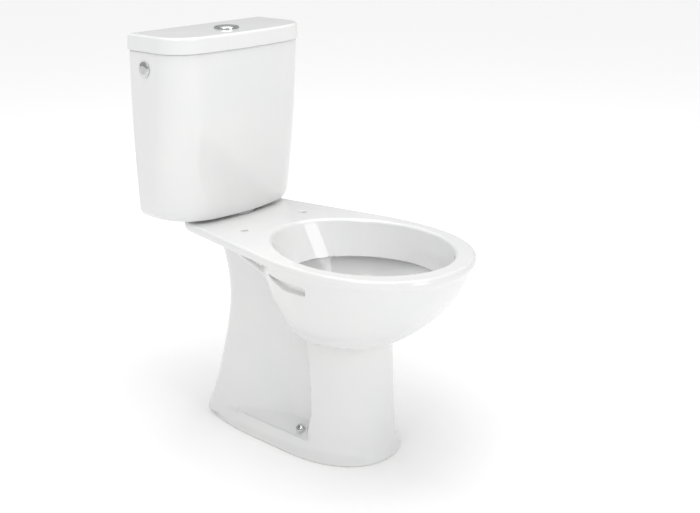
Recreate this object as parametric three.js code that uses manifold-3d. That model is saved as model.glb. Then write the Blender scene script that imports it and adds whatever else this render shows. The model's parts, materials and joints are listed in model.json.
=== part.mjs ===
// Close coupled toilet: a glazed ceramic pan with a ceramic cistern bolted on its back deck.
// Millimetres, +Z up, front of the pan towards -Y. The floor is Z = 0, X = 0 is the plane of symmetry,
// and Y = 0 lies half way between the wall and the tip of the rim.
import * as THREE from 'three';
import { mergeVertices } from 'three/addons/utils/BufferGeometryUtils.js';
import Module from 'manifold-3d';

const wasm = await Module();
wasm.setup();

// ---------------------------------------------------------------- driving dimensions
const DEPTH = 627; // wall to the tip of the rim
const GAP = 0.3; // between pieces that touch
const WALL = 10; // ceramic wall
const fromWall = (distance) => DEPTH / 2 - distance;

const RIM = { top: 403, halfWidth: 168, widest: 405, power: 2.25, deckThickness: 16 };
const OPENING = { halfWidth: 141.5, front: 596, widest: 427, back: 234.6, frontPower: 1.93, backPower: 1.9 };
const SKIRT = { bottom: 335, halfWidth: 130, front: 583, widest: 430, back: 270, thickness: 7 };
const CREASE = 228; // height where the bowl meets the front column
const COLUMN = { halfWidth: 84, front: 471, widest: 323, back: 67, taper: 15, flare: 9.3, flareHeight: 22 };
const BOWL_CURVE = { rise: 1.612, swell: 1.291, top: 399 };
const FOOT_LIP = 34; // height of the lip that closes the side recess below
const LEDGE = { outer: 99, inner: 60, slope: 0.83 };
const SEAT_HOLES = { spacing: 155, fromWall: 199, radius: 7, countersink: 11 };
const SLOT = { z: 362, height: 14, from: 330, to: 432, inside: 154 };
const TRAP = { bore: 30, wall: 9, bend: 44, dip: 146, weir: 256 };
const OUTLET = { fromWall: 172, bottom: 14, spigot: 50 };
const FLUSH = { fromWall: 86, deckHole: 27, seatRadius: 42, seatZ: 394, bossRadius: 40, bossBottom: 346 };
const COUPLING = { x: 70, fromWall: 72, hole: 6, bolt: 4 };

const TANK = { bottom: 409, top: 724, floor: 12, wall: 9, backGap: 2, backRadius: 4, bulge: 7 };
const LID = { bottom: 724.3, top: 753.5, halfWidth: 165, depth: 152.5, corner: 61, roof: 10, lip: 10 };
const BUTTON = { fromWall: 87, bezel: 23.5, hole: 21, sleeve: 20.5, radius: 18.6, bottom: 747, top: 759 };
const ROD = { radius: 2.5, offset: 10, bottom: 638 };
const VALVE = { flange: 34, tail: 25, bore: 21, seat: 440, cage: 33, cageTop: 600, capTop: 640, tube: 13 };
const SIDE = { z: 693, fromWall: 46.5, hole: 8 }; // inlet hole on the right, plugged hole on the left
const FILL = { x: 122, radius: 15, bottom: 660, top: 710, shankEnd: 176.5 };
const LEVER = { pivotX: 100, pivotZ: 700, pin: 2, width: 8 };
const FLOOR_SCREW = { x: 84.5, fromWall: 340, length: 50, head: 8.5, tilt: Math.atan(LEDGE.slope) };

// ---------------------------------------------------------------- materials
const material = (color, roughness, metalness) =>
  new THREE.MeshStandardMaterial({ color, roughness, metalness });
const CERAMIC = material(0xf4f4f2, 0.08, 0);
const CHROME = material(0xd8dadd, 0.08, 1);
const WHITE_PLASTIC = material(0xe9eae8, 0.35, 0);
const BLUE_PLASTIC = material(0x4f86b8, 0.4, 0);
const GREY_PLASTIC = material(0x9a9da0, 0.45, 0);
const BLACK_RUBBER = material(0x1d1d1f, 0.75, 0);
const GREY_RUBBER = material(0x9a9a98, 0.8, 0);
const STEEL = material(0xb4b7ba, 0.3, 1);
const BRASS = material(0xb89250, 0.3, 1);

// ---------------------------------------------------------------- solids and booleans
const closed = (geometry) => {
  geometry.deleteAttribute('normal');
  geometry.deleteAttribute('uv');
  return mergeVertices(geometry, 1e-4);
};

const solid = (geometry) => {
  const merged = closed(geometry);
  const vertProperties = new Float32Array(merged.attributes.position.array);
  const triVerts = new Uint32Array(merged.index.array);
  return new wasm.Manifold(new wasm.Mesh({ numProp: 3, vertProperties, triVerts }));
};

// The vertices and triangles of a solid, without the slivers that a cut leaves behind.
const SLIVER = 0.02;
const toGeometry = (manifold) => {
  const { vertProperties, triVerts } = manifold.simplify(SLIVER).getMesh();
  const geometry = new THREE.BufferGeometry();
  geometry.setAttribute('position', new THREE.BufferAttribute(vertProperties, 3));
  geometry.setIndex(new THREE.BufferAttribute(triVerts, 1));
  return geometry;
};

const join = (...solids) => solids.reduce((sum, next) => sum.add(next));
const cut = (body, ...tools) => tools.reduce((rest, tool) => rest.subtract(tool), body);

// A closed loft: outlineAt(level) gives a function turn -> [x, y], heights are the levels' z.
const loft = (heights, outlineAt, around) => {
  const geometry = new THREE.CylinderGeometry(1, 1, 1, around, heights.length - 1);
  geometry.rotateX(Math.PI / 2);
  const outlines = heights.map((z) => outlineAt(z));
  const middles = outlines.map((outline) => {
    const [a, b] = [outline(0), outline(0.5)];
    return [(a[0] + b[0]) / 2, (a[1] + b[1]) / 2];
  });
  const position = geometry.attributes.position;
  for (let i = 0; i < position.count; i++) {
    const [x, y, z] = [position.getX(i), position.getY(i), position.getZ(i)];
    const level = Math.round((z + 0.5) * (heights.length - 1));
    const onAxis = Math.hypot(x, y) < 0.5;
    const step = Math.round((Math.atan2(y, x) / (2 * Math.PI)) * around + around) % around;
    const [px, py] = onAxis ? middles[level] : outlines[level](step / around);
    position.setXYZ(i, px, py, heights[level]);
  }
  return solid(geometry);
};

// Outline symmetric about X = 0 from its left half, a path whose curves are cut into the given divisions.
const symmetric = (half, divisions) => {
  const left = half.curves.flatMap((curve, i) => curve.getPoints(divisions[i]).slice(i === 0 ? 0 : 1));
  const count = left.length - 1;
  return (turn) => {
    const step = Math.round(turn * 2 * count) % (2 * count);
    const point = step <= count ? left[step] : left[2 * count - step];
    return [step <= count ? point.x : -point.x, point.y];
  };
};
const sidesOf = (divisions) => 2 * divisions.reduce((sum, count) => sum + count);

// Egg outline about (0, widest), wide part towards the wall side given by its own power.
const egg = (shape, inset = 0) => (turn) => {
  const angle = 2 * Math.PI * turn;
  const [c, s] = [Math.cos(angle), Math.sin(angle)];
  const toBack = s > 0;
  const power = 2 / ((toBack ? shape.backPower : shape.frontPower) ?? 2);
  const reach = toBack ? shape.widest - shape.back - inset : shape.front - shape.widest - inset;
  const x = (shape.halfWidth - inset) * Math.sign(c) * Math.abs(c) ** power;
  return [x, fromWall(shape.widest) + reach * Math.sign(s) * Math.abs(s) ** power];
};

const SIDES = 16; // facets round a small piece

const cylinder = (radius, low, high, sides = SIDES) => {
  const geometry = new THREE.CylinderGeometry(radius, radius, high - low, sides);
  geometry.rotateX(Math.PI / 2);
  geometry.translate(0, 0, (low + high) / 2);
  return geometry;
};

const box = (x, y, z) => {
  const geometry = new THREE.BoxGeometry(x[1] - x[0], y[1] - y[0], z[1] - z[0]);
  geometry.translate((x[0] + x[1]) / 2, (y[0] + y[1]) / 2, (z[0] + z[1]) / 2);
  return geometry;
};

// A turned piece about Z; the profile [radius, z] runs anticlockwise seen with the axis on its left.
const turned = (profile, sides = SIDES) => {
  const points = [...profile, profile[0]].map(([r, z]) => new THREE.Vector2(r, z));
  const geometry = new THREE.LatheGeometry(points, sides);
  geometry.rotateX(Math.PI / 2);
  return geometry;
};

const washer = (inner, outer, low, high, sides = SIDES) =>
  turned([[inner, low], [outer, low], [outer, high], [inner, high]], sides);

const hexPlate = (radius, low, high) => cylinder(radius, low, high, 6);

const moved = (geometry, x, y, z = 0) => geometry.clone().translate(x, y, z);

// An extrusion along Z of a shape in the XY plane.
const prism = (shape, low, high, curveSegments = 16) => {
  const settings = { depth: high - low, bevelEnabled: false, curveSegments };
  const geometry = new THREE.ExtrudeGeometry(shape, settings);
  geometry.translate(0, 0, low);
  return geometry;
};

const polygon = (points) => new THREE.Shape(points.map(([x, y]) => new THREE.Vector2(x, y)));

// ---------------------------------------------------------------- assembly
const toilet = new THREE.Group();
toilet.name = 'close_coupled_toilet';

const place = (name, geometry, finish, parent = toilet) => {
  const mesh = new THREE.Mesh(geometry, finish);
  mesh.name = name;
  parent.add(mesh);
  return mesh;
};

// ---------------------------------------------------------------- pan outlines
// Rim and deck seen from above: superellipse front, long curve, straight taper, cut back corners.
const rimPoint = (angle) => {
  const power = 2 / RIM.power;
  const reach = DEPTH - RIM.widest;
  const x = RIM.halfWidth * Math.cos(angle) ** power;
  return new THREE.Vector2(x, fromWall(RIM.widest) - reach * Math.sin(angle) ** power);
};

const rimShape = () => {
  const steps = 18;
  const turns = Array.from({ length: steps + 1 }, (_, i) => (steps - i) / steps);
  const front = turns.map((turn) => rimPoint((Math.PI / 2) * turn));
  const mirror = (points) => points.map((p) => new THREE.Vector2(-p.x, p.y)).reverse();
  const side = new THREE.CubicBezierCurve(
    front[steps],
    new THREE.Vector2(RIM.halfWidth, fromWall(350)),
    new THREE.Vector2(158, fromWall(310)),
    new THREE.Vector2(151.6, fromWall(270)),
  ).getPoints(8).slice(1);
  const corner = new THREE.CubicBezierCurve(
    new THREE.Vector2(122, fromWall(98)),
    new THREE.Vector2(116, fromWall(62)),
    new THREE.Vector2(84, fromWall(35)),
    new THREE.Vector2(48, fromWall(34)),
  ).getPoints(6);
  const right = [...front, ...side, ...corner];
  return new THREE.Shape([...right, ...mirror(right).slice(0, -1)]);
};

const columnShape = (z) => {
  const rise = 1 - Math.min(z, CREASE) / CREASE;
  const flare = Math.exp(-((z / COLUMN.flareHeight) ** 1.5));
  return {
    halfWidth: COLUMN.halfWidth + COLUMN.taper * rise + COLUMN.flare * flare,
    front: COLUMN.front + 4 * rise + 7 * flare,
    widest: COLUMN.widest,
    back: COLUMN.back + z / 3,
    frontPower: 2.2,
    backPower: 4,
  };
};

// Outside of the bowl: swells from the column's top out to the rim, and closes behind the opening.
const bowlShape = (z) => {
  const rise = Math.min(1, (z - CREASE) / (BOWL_CURVE.top - CREASE));
  const swell = (1 - (1 - rise) ** BOWL_CURVE.rise) ** (1 / BOWL_CURVE.swell);
  return {
    halfWidth: COLUMN.halfWidth + (RIM.halfWidth - COLUMN.halfWidth) * swell,
    front: COLUMN.front + (DEPTH - 1 - COLUMN.front) * swell,
    widest: 370 + 35 * rise,
    back: 294 - 66 * rise ** 0.63,
    frontPower: 2.2,
    backPower: 2,
  };
};

// Back column and web: flares out to the foot below and to the deck above.
const BACK_LEVELS = [
  { z: 12, back: 72, web: 72, side: 99 },
  { z: 34, back: 79, web: 68, side: 95 },
  { z: 90, back: 97, web: 65, side: 88 },
  { z: 140, back: 107, web: 63, side: 82 },
  { z: 200, back: 118, web: 61, side: 76 },
  { z: 270, back: 122, web: 60, side: 71 },
  { z: 333, back: 114, web: 60, side: 72 },
  { z: 362, back: 106, web: 60, side: 75 },
  { z: 390, back: 90, web: 62, side: 84 },
];

const BACK_DIVISIONS = [2, 5, 7, 2, 2];
const backOutline = (z) => {
  const { back, web, side } = BACK_LEVELS.find((level) => level.z === z);
  const radius = 32;
  const half = new THREE.Path();
  half.moveTo(0, fromWall(back));
  half.lineTo(-(side - radius), fromWall(back));
  half.absarc(-(side - radius), fromWall(back + radius), radius, Math.PI / 2, Math.PI, false);
  half.quadraticCurveTo(-side, fromWall(back + 90), -(web + 3), fromWall(300));
  half.lineTo(-web, fromWall(400));
  half.lineTo(0, fromWall(400));
  return symmetric(half, BACK_DIVISIONS);
};

// ---------------------------------------------------------------- pan
// The pocket on both sides of the web: a side view outline crossed with a front view outline.
const recessTool = () => {
  const sideView = [
    [fromWall(371), 20], [fromWall(0), 20], [fromWall(0), 300], [fromWall(320), 300],
    [fromWall(340), 250], [fromWall(354), CREASE], [fromWall(362), 190], [fromWall(369), 115],
  ];
  const across = prism(polygon(sideView), -260, 260);
  across.applyMatrix4(new THREE.Matrix4().set(0, 0, 1, 0, 1, 0, 0, 0, 0, 1, 0, 0, 0, 0, 0, 1));
  const ledgeTop = FOOT_LIP + (LEDGE.outer - LEDGE.inner) * LEDGE.slope;
  const frontView = [
    [260, FOOT_LIP], [260, 410], [-260, 410], [-260, FOOT_LIP], [-LEDGE.outer, FOOT_LIP],
    [-LEDGE.inner, ledgeTop], [LEDGE.inner, ledgeTop], [LEDGE.outer, FOOT_LIP],
  ];
  const along = prism(polygon(frontView), -400, 400);
  along.rotateX(Math.PI / 2);
  return solid(across).intersect(solid(along));
};

// Centre line of the trap: out of the sump, up over the weir and down to the outlet.
const trapPath = () => {
  const bend = TRAP.bend;
  const crown = OUTLET.fromWall + bend;
  const arc = (centre, z, from, to) => [0, 1, 2, 3, 4].map((step) => {
    const angle = from + ((to - from) * step) / 4;
    return [centre + bend * Math.cos(angle), z + bend * Math.sin(angle)];
  });
  const dip = arc(crown + 2 * bend, TRAP.dip + bend, 1.5 * Math.PI, Math.PI);
  const weir = arc(crown, TRAP.weir - bend, 0, Math.PI);
  const down = [130, 60, -6].map((z) => [OUTLET.fromWall, z]);
  const points = [[390, TRAP.dip + 3], [350, TRAP.dip], ...dip, ...weir, ...down];
  const inSpace = points.map(([distance, z]) => new THREE.Vector3(0, fromWall(distance), z));
  return new THREE.CatmullRomCurve3(inSpace);
};

const trapTube = (radius) => {
  const circle = new THREE.Shape().absarc(0, 0, radius, 0, 2 * Math.PI);
  const settings = { steps: 17, extrudePath: trapPath(), curveSegments: 7, bevelEnabled: false };
  return solid(new THREE.ExtrudeGeometry(circle, settings));
};

const BOWL_LEVELS = [
  { z: 112, halfWidth: 30, front: 395, widest: 365, back: 335 },
  { z: 122, halfWidth: 42, front: 406, widest: 366, back: 328 },
  { z: 160, halfWidth: 48, front: 415, widest: 368, back: 324 },
  { z: 200, halfWidth: 58, front: 430, widest: 370, back: 316 },
  { z: 232, halfWidth: 73, front: 457, widest: 375, back: 300 },
  { z: 262, halfWidth: 101, front: 512, widest: 386, back: 281 },
  { z: 300, halfWidth: 126, front: 560, widest: 396, back: 265 },
  { z: 335, halfWidth: 143, front: 590, widest: 404, back: 253 },
  { z: 388, halfWidth: 156, front: 613, widest: 410, back: 226 },
];

const bowlInside = (grow) => {
  const heights = BOWL_LEVELS.map((level) => level.z);
  const outline = (z) => egg(BOWL_LEVELS.find((level) => level.z === z), -grow);
  return loft(heights, outline, 32);
};

const throatShape = (z) => {
  const share = (RIM.top - z) / (RIM.top - SKIRT.bottom);
  const blend = (key) => OPENING[key] + (SKIRT[key] - OPENING[key]) * share;
  const { frontPower, backPower } = OPENING;
  const sizes = { halfWidth: blend('halfWidth'), front: blend('front'), widest: blend('widest') };
  return { ...sizes, back: blend('back'), frontPower, backPower };
};

const footHollow = () => {
  const levels = { '-1': [96, 470, 80], 20: [86, 462, 96], 48: [56, 455, 118], 96: [46, 440, 150] };
  const outline = (z) => {
    const [halfWidth, front, back] = levels[z];
    return egg({ halfWidth, front, widest: 323, back, frontPower: 2.3, backPower: 3 });
  };
  return loft([-1, 20, 48, 96], outline, 32);
};

const webHollow = () => {
  const y = [fromWall(345), fromWall(135)];
  return cut(solid(box([-47, 47], y, [60, 235])), trapTube(TRAP.bore + TRAP.wall), bowlInside(WALL));
};

const ledgeHeight = (x) => FOOT_LIP + (LEDGE.outer - x) * LEDGE.slope;

const makePan = () => {
  const column = loft([0, 8, 16, 24, 34, 60, 120, CREASE + 6], (z) => egg(columnShape(z)), 36);
  const bowlHeights = [CREASE, 231, 237, 248, 264, 286, 312, 340, 368, 397];
  const bowl = loft(bowlHeights, (z) => egg(bowlShape(z)), 48);
  const backColumn = loft(BACK_LEVELS.map((level) => level.z), backOutline, sidesOf(BACK_DIVISIONS));
  const deckBottom = RIM.top - RIM.deckThickness;
  const edge = 4;
  const deckGeometry = new THREE.ExtrudeGeometry(rimShape(), {
    depth: RIM.deckThickness - 2 * edge,
    bevelThickness: edge,
    bevelSize: edge,
    bevelOffset: -edge,
    bevelSegments: 2,
  });
  const deck = solid(deckGeometry.translate(0, 0, deckBottom + edge));
  const boss = solid(moved(cylinder(FLUSH.bossRadius, FLUSH.bossBottom, 395), 0, fromWall(FLUSH.fromWall)));
  const spigot = solid(moved(cylinder(OUTLET.spigot, OUTLET.bottom, 100), 0, fromWall(OUTLET.fromWall)));

  const behind = solid(box([-200, 200], [fromWall(180), 400], [30, 300]));
  const outside = join(cut(column, recessTool(), behind), bowl, backColumn, deck, boss);

  const skirtOutside = loft([SKIRT.bottom, 402], (z) => egg(throatShape(z), -SKIRT.thickness), 36);
  const throatHeights = [SKIRT.bottom - 8, SKIRT.bottom, 369, RIM.top, RIM.top + 5];
  const throat = loft(throatHeights, (z) => egg(throatShape(z)), 40);
  const chamber = cut(bowlInside(0), skirtOutside);
  const channel = box([-24, 24], [fromWall(245), fromWall(FLUSH.fromWall)], [356, 384]);
  const flushHole = moved(cylinder(FLUSH.deckHole, 358, 410), 0, fromWall(FLUSH.fromWall));
  const gasketSeat = moved(cylinder(FLUSH.seatRadius, FLUSH.seatZ, 410), 0, fromWall(FLUSH.fromWall));
  const hollow = cut(join(footHollow(), webHollow()), spigot, bowlInside(WALL));

  const holes = [-1, 1].flatMap((side) => {
    const seat = [side * (SEAT_HOLES.spacing / 2), fromWall(SEAT_HOLES.fromWall)];
    const sink = SEAT_HOLES.countersink - SEAT_HOLES.radius;
    const cone = new THREE.CylinderGeometry(SEAT_HOLES.countersink + 1, SEAT_HOLES.radius, sink + 1, 24);
    cone.rotateX(Math.PI / 2);
    const screw = cylinder(4.7, -40, 20, 16).rotateY(side * FLOOR_SCREW.tilt);
    const slotX = side > 0 ? [SLOT.inside, 200] : [-200, -SLOT.inside];
    const slotY = [fromWall(SLOT.to), fromWall(SLOT.from)];
    const slotZ = [SLOT.z - SLOT.height / 2, SLOT.z + SLOT.height / 2];
    return [
      moved(cylinder(SEAT_HOLES.radius, 340, 410, 24), ...seat),
      moved(cone, ...seat, RIM.top - (sink - 1) / 2),
      moved(cylinder(COUPLING.hole, 340, 410, 24), side * COUPLING.x, fromWall(COUPLING.fromWall)),
      moved(screw, side * FLOOR_SCREW.x, fromWall(FLOOR_SCREW.fromWall), ledgeHeight(FLOOR_SCREW.x)),
      box(slotX, slotY, slotZ),
    ].map(solid);
  });
  const bore = trapTube(TRAP.bore);
  const flushWay = [channel, flushHole, gasketSeat].map(solid);
  return cut(outside, throat, chamber, ...flushWay, hollow, bore, ...holes);
};
place('pan', toGeometry(makePan()), CERAMIC);

// ---------------------------------------------------------------- cistern tank and lid
const CISTERN_DIVISIONS = [1, 3, 1, 8, 6];
const CISTERN_SIDES = sidesOf(CISTERN_DIVISIONS);

// D-shaped outline: flat back with small corners, wide front corners and a slightly bowed front.
const cisternOutline = (halfWidth, depth, corner, back = TANK.backGap) => {
  const rear = fromWall(back);
  const front = fromWall(depth - TANK.bulge);
  const small = Math.min(TANK.backRadius, corner);
  const half = new THREE.Path();
  half.moveTo(0, rear);
  half.lineTo(-(halfWidth - small), rear);
  half.absarc(-(halfWidth - small), rear - small, small, Math.PI / 2, Math.PI, false);
  half.lineTo(-halfWidth, front + corner);
  half.absarc(-(halfWidth - corner), front + corner, corner, Math.PI, 1.5 * Math.PI - 0.12, false);
  half.quadraticCurveTo(-(halfWidth - corner) / 2, front - TANK.bulge, 0, front - TANK.bulge);
  return symmetric(half, CISTERN_DIVISIONS);
};

// Size of the tank's outline at a height: the sides stay upright, the front leans in towards the bottom.
const tankSize = (z) => {
  const drop = (TANK.top - z) / (TANK.top - TANK.bottom);
  const underside = Math.max(0, 1 - (z - TANK.bottom) / 22);
  const rounding = 1 - Math.sqrt(1 - underside ** 2);
  return {
    halfWidth: 162 + 3 * Math.sin(Math.PI * drop) - 17 * rounding,
    depth: 149.5 - 13 * drop - 5 * drop ** 2 - 4 * rounding,
    corner: 60 + 28 * drop - 8 * rounding,
  };
};

const tankLoft = (heights, inset) => loft(heights, (z) => {
  const { halfWidth, depth, corner } = tankSize(Math.min(z, TANK.top));
  return cisternOutline(halfWidth - inset, depth - inset, corner - inset, TANK.backGap + inset);
}, CISTERN_SIDES);

const makeTank = () => {
  const outside = tankLoft([TANK.bottom, 414.5, 419, 426, 436, 480, 540, 610, 670, TANK.top], 0);
  const floor = TANK.bottom + TANK.floor;
  const inside = tankLoft([floor, 440, 520, 620, TANK.top + 5], TANK.wall);
  const across = (x) => {
    const hole = cylinder(SIDE.hole, -30, 30, 24).rotateY(Math.PI / 2);
    return solid(moved(hole, x, fromWall(SIDE.fromWall), SIDE.z));
  };
  const down = (radius, x, distance) => solid(moved(cylinder(radius, 400, 435), x, fromWall(distance)));
  return cut(
    outside, inside, across(-158), across(158), down(VALVE.tail + 1, 0, FLUSH.fromWall),
    down(COUPLING.hole, -COUPLING.x, COUPLING.fromWall), down(COUPLING.hole, COUPLING.x, COUPLING.fromWall),
  );
};
place('cistern_tank', toGeometry(makeTank()), CERAMIC);

const lidGroup = new THREE.Group();
toilet.add(lidGroup);

const makeLid = () => {
  const insets = { 724.3: 0.8, 727: 0, 746: 1, 751: 3, 753.5: 7 };
  const heights = [LID.bottom, 727, 746, 751, LID.top];
  const outline = (inset, back = inset) =>
    cisternOutline(LID.halfWidth - inset, LID.depth - inset, LID.corner - inset, back);
  const outside = loft(heights, (z) => outline(insets[z]), CISTERN_SIDES);
  const lip = loft([LID.bottom - LID.lip, 728], () => outline(15), CISTERN_SIDES);
  const under = loft([LID.bottom - LID.lip - 1, LID.top - LID.roof], () => outline(21), CISTERN_SIDES);
  const hole = moved(cylinder(BUTTON.hole, 735, 760), 0, fromWall(BUTTON.fromWall));
  return cut(join(outside, lip), under, solid(hole));
};
place('cistern_lid', toGeometry(makeLid()), CERAMIC, lidGroup);

// ---------------------------------------------------------------- flush buttons in the lid
const buttonGroup = new THREE.Group();
buttonGroup.position.set(0, fromWall(BUTTON.fromWall), 0);
lidGroup.add(buttonGroup);

const seatZ = LID.top + GAP;
place('button_bezel', turned([
  [BUTTON.radius + 0.5, seatZ], [BUTTON.bezel, seatZ], [BUTTON.bezel, seatZ + 1],
  [BUTTON.bezel - 1.5, seatZ + 3],
  [BUTTON.radius + 1.4, seatZ + 3.6], [BUTTON.radius + 0.5, seatZ + 2.6],
], 28), CHROME, buttonGroup);

const sleeveFloor = 729;
const makeSleeve = () => {
  const cup = solid(turned([
    [0, sleeveFloor], [BUTTON.sleeve, sleeveFloor], [BUTTON.sleeve, LID.top], [BUTTON.sleeve - 1.6, LID.top],
    [BUTTON.sleeve - 1.6, sleeveFloor + 2], [0, sleeveFloor + 2],
  ], 24));
  const hole = (x) => solid(moved(cylinder(ROD.radius + 0.6, 720, 740, 16), x, 0));
  return cut(cup, hole(ROD.offset), hole(-ROD.offset));
};
place('button_sleeve', toGeometry(makeSleeve()), WHITE_PLASTIC, buttonGroup);

const makeLockNut = () => cut(
  solid(hexPlate(30, 734, LID.top - LID.roof - GAP)),
  solid(cylinder(BUTTON.sleeve + GAP, 730, 750, 24)),
);
place('button_lock_nut', toGeometry(makeLockNut()), WHITE_PLASTIC, buttonGroup);

// The round button is split by a slot: the wide part gives a full flush, the narrow part a half flush.
const SPLIT = { x: -3.5, slot: 0.8 };
const makeButton = (side) => {
  const dome = solid(turned([
    [0, BUTTON.bottom], [BUTTON.radius, BUTTON.bottom], [BUTTON.radius, BUTTON.top - 2.4],
    [BUTTON.radius - 1.4, BUTTON.top - 0.9],
    [BUTTON.radius * 0.55, BUTTON.top - 0.2], [0, BUTTON.top],
  ], 28));
  const edge = SPLIT.x + (side * SPLIT.slot) / 2;
  const half = side > 0 ? box([edge, 30], [-30, 30], [740, 770]) : box([-30, edge], [-30, 30], [740, 770]);
  return dome.intersect(solid(half));
};
place('full_flush_button', toGeometry(makeButton(1)), CHROME, buttonGroup);
place('half_flush_button', toGeometry(makeButton(-1)), CHROME, buttonGroup);

const buttonRod = (x) => moved(cylinder(ROD.radius, ROD.bottom, BUTTON.bottom - GAP), x, 0);
place('full_push_rod', buttonRod(ROD.offset), WHITE_PLASTIC, buttonGroup);
place('half_push_rod', buttonRod(-ROD.offset), WHITE_PLASTIC, buttonGroup);

// Return springs: helical wire round each rod, between the sleeve's floor and the button.
const SPRING = { radius: 4.6, wire: 0.7, turns: 3.5, low: sleeveFloor + 3, high: BUTTON.bottom - 1 };
class Helix extends THREE.Curve {
  getPoint(t, target = new THREE.Vector3()) {
    const angle = 2 * Math.PI * SPRING.turns * t;
    const z = SPRING.low + (SPRING.high - SPRING.low) * t;
    return target.set(SPRING.radius * Math.cos(angle), SPRING.radius * Math.sin(angle), z);
  }
}
const spring = (x) => {
  const wire = new THREE.Shape().absarc(0, 0, SPRING.wire, 0, 2 * Math.PI);
  const settings = { steps: 30, extrudePath: new Helix(), curveSegments: 3, bevelEnabled: false };
  return moved(new THREE.ExtrudeGeometry(wire, settings), x, 0);
};
place('full_button_spring', spring(ROD.offset), STEEL, buttonGroup);
place('half_button_spring', spring(-ROD.offset), STEEL, buttonGroup);

// ---------------------------------------------------------------- flush valve
const valveGroup = new THREE.Group();
valveGroup.position.set(0, fromWall(FLUSH.fromWall), 0);
toilet.add(valveGroup);

const tankFloor = TANK.bottom + TANK.floor;
const flangeBottom = tankFloor + 3 + 2 * GAP;
const valveGasket = washer(VALVE.tail + GAP, VALVE.flange, tankFloor + GAP, flangeBottom - GAP);
place('flush_valve_gasket', valveGasket, BLACK_RUBBER, valveGroup);
place('flush_valve_base', turned([
  [VALVE.bore, FLUSH.seatZ - 8], [VALVE.tail, FLUSH.seatZ - 8], [VALVE.tail, flangeBottom],
  [VALVE.flange, flangeBottom], [VALVE.flange, flangeBottom + 4], [VALVE.tail, flangeBottom + 5],
  [VALVE.tail, VALVE.seat], [VALVE.bore, VALVE.seat],
]), WHITE_PLASTIC, valveGroup);

const makeBackNut = () => cut(
  solid(hexPlate(35.3, FLUSH.seatZ + 2, TANK.bottom - GAP)),
  solid(cylinder(VALVE.tail + GAP, 380, 420)),
);
place('flush_valve_back_nut', toGeometry(makeBackNut()), WHITE_PLASTIC, valveGroup);
const sealRing = washer(35.8, 41, FLUSH.seatZ + GAP, TANK.bottom - GAP, 28);
place('tank_to_pan_gasket', sealRing, GREY_RUBBER, valveGroup);

const cageBottom = flangeBottom + 5.5;
const makeCage = () => {
  const wall = solid(washer(VALVE.cage - 2.5, VALVE.cage, cageBottom, VALVE.cageTop, 18));
  const window = (low, high) => box([-9, 9], [-50, 50], [low, high]);
  const windows = [0, 1, 2].flatMap((turn) => [window(446, 492), window(502, 548), window(558, 590)]
    .map((geometry) => solid(geometry.rotateZ((turn * Math.PI) / 3))));
  return cut(wall, ...windows);
};
place('flush_valve_cage', toGeometry(makeCage()), WHITE_PLASTIC, valveGroup);

const makeValveCap = () => {
  const cap = solid(turned([
    [VALVE.cage - 2.5, VALVE.cageTop + GAP], [VALVE.cage, VALVE.cageTop + GAP],
    [VALVE.cage, VALVE.capTop - 6], [VALVE.cage - 6, VALVE.capTop], [0, VALVE.capTop],
    [0, VALVE.capTop - 4], [VALVE.cage - 7, VALVE.capTop - 4],
    [VALVE.cage - 2.5, VALVE.capTop - 8],
  ], 24));
  const hole = (x) => solid(moved(cylinder(ROD.radius + 1, 620, 650, 16), x, 0));
  const bay = solid(box([-50, 50], [-12, 12], [606, 628]));
  return cut(cap, hole(ROD.offset), hole(-ROD.offset), bay);
};
const valveCap = place('flush_valve_cap', toGeometry(makeValveCap()), BLUE_PLASTIC, valveGroup);
valveCap.position.y = fromWall(BUTTON.fromWall) - fromWall(FLUSH.fromWall);

place('valve_seal_ring', washer(19, 28, VALVE.seat + GAP, VALVE.seat + 2.8), BLACK_RUBBER, valveGroup);
place('valve_seal_disc', washer(11, 27, VALVE.seat + 3.1, VALVE.seat + 6.1), GREY_PLASTIC, valveGroup);
place('overflow_tube', washer(VALVE.tube - 2, VALVE.tube, VALVE.seat + 6.4, 606), WHITE_PLASTIC, valveGroup);

// ---------------------------------------------------------------- bolts that couple tank and pan
for (const [side, name] of [[-1, 'left'], [1, 'right']]) {
  const stack = new THREE.Group();
  stack.position.set(side * COUPLING.x, fromWall(COUPLING.fromWall), 0);
  toilet.add(stack);
  const deckBottom = RIM.top - RIM.deckThickness;
  const headZ = tankFloor + 3 + 2 * GAP;
  const bolt = join(
    solid(hexPlate(7.5, headZ, headZ + 5.3)),
    solid(cylinder(COUPLING.bolt, 371, headZ + 1, 16)),
  );
  place(`coupling_bolt_${name}`, toGeometry(bolt), BRASS, stack);
  const hole = COUPLING.bolt + GAP;
  place(`bolt_rubber_washer_${name}`, washer(hole, 14, tankFloor + GAP, headZ - GAP), BLACK_RUBBER, stack);
  place(`tank_pad_${name}`, washer(hole + 2, 15, RIM.top + GAP, TANK.bottom - GAP), GREY_RUBBER, stack);
  place(`deck_washer_${name}`, washer(hole, 11, deckBottom - 2.3, deckBottom - GAP), STEEL, stack);
  const nutTop = deckBottom - 2.6;
  const wings = join(
    solid(cylinder(8, nutTop - 8, nutTop, 20)),
    solid(box([-12, 12], [-1.5, 1.5], [nutTop - 12, nutTop - 2])),
  );
  const wingNut = cut(wings, solid(cylinder(hole, 350, 395, 16)));
  place(`wing_nut_${name}`, toGeometry(wingNut), BRASS, stack);
}

// ---------------------------------------------------------------- side holes
// The left hole is blanked with a plug, the right one holds the inlet.
const CLAMPED = 15; // radius that the caps, nuts and washers cover
const wallOutside = tankSize(SIDE.z - CLAMPED).halfWidth;
const wallInside = tankSize(TANK.top).halfWidth - TANK.wall;

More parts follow.
